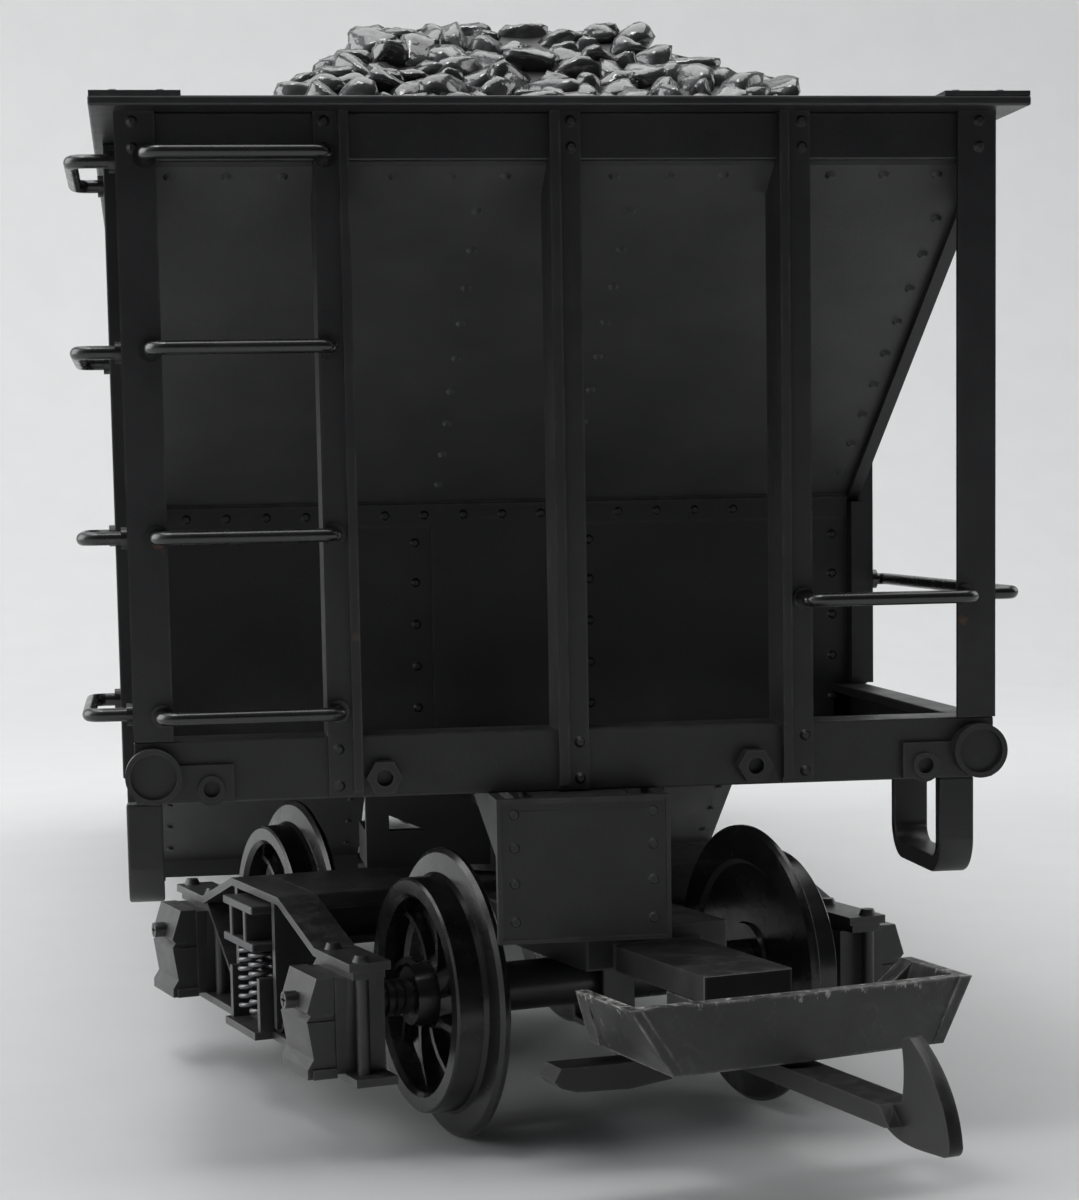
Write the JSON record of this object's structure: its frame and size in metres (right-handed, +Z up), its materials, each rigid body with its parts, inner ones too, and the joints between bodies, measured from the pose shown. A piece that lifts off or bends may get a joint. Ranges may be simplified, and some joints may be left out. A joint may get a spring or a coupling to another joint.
{
  "type": "model railway hopper car",
  "caption": "Open-top model railway hopper car on arch-bar trucks that swivel, with rolling wheelsets, hook-and-loop couplers, bottom doors and a lift-out coal load.",
  "frame": {"origin": "on the table under the middle of the car", "axes": "+X to the right seen from the pictured end, +Y along the car away from the pictured end, +Z up"},
  "size_m": [0.1124, 0.4534, 0.1386],
  "materials": {
    "body_plastic": "satin",
    "truck_plastic": "satin",
    "rod_metal": "gloss",
    "wheel_black": "gloss",
    "bright_steel": "satin",
    "coupler_plastic": "satin",
    "coal": "gloss"
  },
  "bodies": {
    "car_body": {"bulkhead_front": "body_plastic", "bulkhead_rear": "body_plastic", "corner_gussets": "body_plastic", "door_hangers": "body_plastic", "draft_box_front": "body_plastic", "draft_box_rear": "body_plastic", "end_band_front": "body_plastic", "end_band_rear": "body_plastic", "end_posts_front": "body_plastic", "end_posts_rear": "body_plastic", "end_rungs": "rod_metal", "end_sill_front": "body_plastic", "end_sill_rear": "body_plastic", "handholds": "rod_metal", "hopper_bay_front": "body_plastic", "hopper_bay_rear": "body_plastic", "king_pins": "bright_steel", "ladder_stiles": "body_plastic", "side_panel_left": "body_plastic", "side_panel_right": "body_plastic", "side_rungs": "rod_metal", "side_sill_left": "body_plastic", "side_sill_right": "body_plastic", "sill_castings": "body_plastic", "slope_sheet_front": "body_plastic", "slope_sheet_rear": "body_plastic", "stirrups": "body_plastic", "top_rim": "body_plastic", "underframe": "body_plastic"},
    "truck_front": {"truck_frame_front": "truck_plastic", "bolster_front": "truck_plastic", "sideframe_left_front": "truck_plastic", "sideframe_right_front": "truck_plastic", "springs_front": "bright_steel", "journal_lids_front": "truck_plastic", "frame_bolts_front": "truck_plastic", "coupler_loop_front": "coupler_plastic", "hook_pin_front": "bright_steel"},
    "wheelset_1_front": {"axle_1_front": "wheel_black", "wheels_1_front": "wheel_black"},
    "wheelset_2_front": {"axle_2_front": "wheel_black", "wheels_2_front": "wheel_black"},
    "hook_front": {"coupler_hook_front": "coupler_plastic"},
    "door_front": {"hopper_door_front": "body_plastic"},
    "truck_rear": {"truck_frame_rear": "truck_plastic", "bolster_rear": "truck_plastic", "sideframe_left_rear": "truck_plastic", "sideframe_right_rear": "truck_plastic", "springs_rear": "bright_steel", "journal_lids_rear": "truck_plastic", "frame_bolts_rear": "truck_plastic", "coupler_loop_rear": "coupler_plastic", "hook_pin_rear": "bright_steel"},
    "wheelset_1_rear": {"axle_1_rear": "wheel_black", "wheels_1_rear": "wheel_black"},
    "wheelset_2_rear": {"axle_2_rear": "wheel_black", "wheels_2_rear": "wheel_black"},
    "hook_rear": {"coupler_hook_rear": "coupler_plastic"},
    "door_rear": {"hopper_door_rear": "body_plastic"},
    "load": {"coal_load": "coal"}
  },
  "joints": [
    {"name": "truck_swivel_front", "type": "hinge", "parent": "car_body", "child": "truck_front", "pos_m": [0, -0.1207, 0.0277], "axis": [0, 0, 1], "range_deg": [-30.8, 0]},
    {"name": "wheelset_1_front_roll", "type": "hinge", "parent": "truck_front", "child": "wheelset_1_front", "pos_m": [0.00766, -0.14851, 0.018], "axis": [0.9641, 0.2656, 0], "continuous": true},
    {"name": "wheelset_2_front_roll", "type": "hinge", "parent": "truck_front", "child": "wheelset_2_front", "pos_m": [-0.00766, -0.09289, 0.018], "axis": [0.9641, 0.2656, 0], "continuous": true},
    {"name": "hook_dip_front", "type": "hinge", "parent": "truck_front", "child": "hook_front", "pos_m": [0.01646, -0.18047, 0.016], "axis": [0.9641, 0.2656, 0], "range_deg": [0, 12], "stiffness_Nm_per_rad": 0.01, "springref_deg": -8.59},
    {"name": "door_swing_front", "type": "hinge", "parent": "car_body", "child": "door_front", "pos_m": [0, -0.0116, 0.0151], "axis": [1, 0, 0], "range_deg": [0, 30]},
    {"name": "truck_swivel_rear", "type": "hinge", "parent": "car_body", "child": "truck_rear", "pos_m": [0, 0.1207, 0.0277], "axis": [0, 0, 1], "range_deg": [-30.8, 0]},
    {"name": "wheelset_1_rear_roll", "type": "hinge", "parent": "truck_rear", "child": "wheelset_1_rear", "pos_m": [-0.00766, 0.14851, 0.018], "axis": [-0.9641, -0.2656, 0], "continuous": true},
    {"name": "wheelset_2_rear_roll", "type": "hinge", "parent": "truck_rear", "child": "wheelset_2_rear", "pos_m": [0.00766, 0.09289, 0.018], "axis": [-0.9641, -0.2656, 0], "continuous": true},
    {"name": "hook_dip_rear", "type": "hinge", "parent": "truck_rear", "child": "hook_rear", "pos_m": [-0.01646, 0.18047, 0.016], "axis": [-0.9641, -0.2656, 0], "range_deg": [0, 12], "stiffness_Nm_per_rad": 0.01, "springref_deg": -8.59},
    {"name": "door_swing_rear", "type": "hinge", "parent": "car_body", "child": "door_rear", "pos_m": [0, 0.0116, 0.0151], "axis": [-1, 0, 0], "range_deg": [0, 30]},
    {"name": "load_lift", "type": "slide", "parent": "car_body", "child": "load", "axis": [0, 0, 1], "range_m": [0, 0.08]}
  ]
}
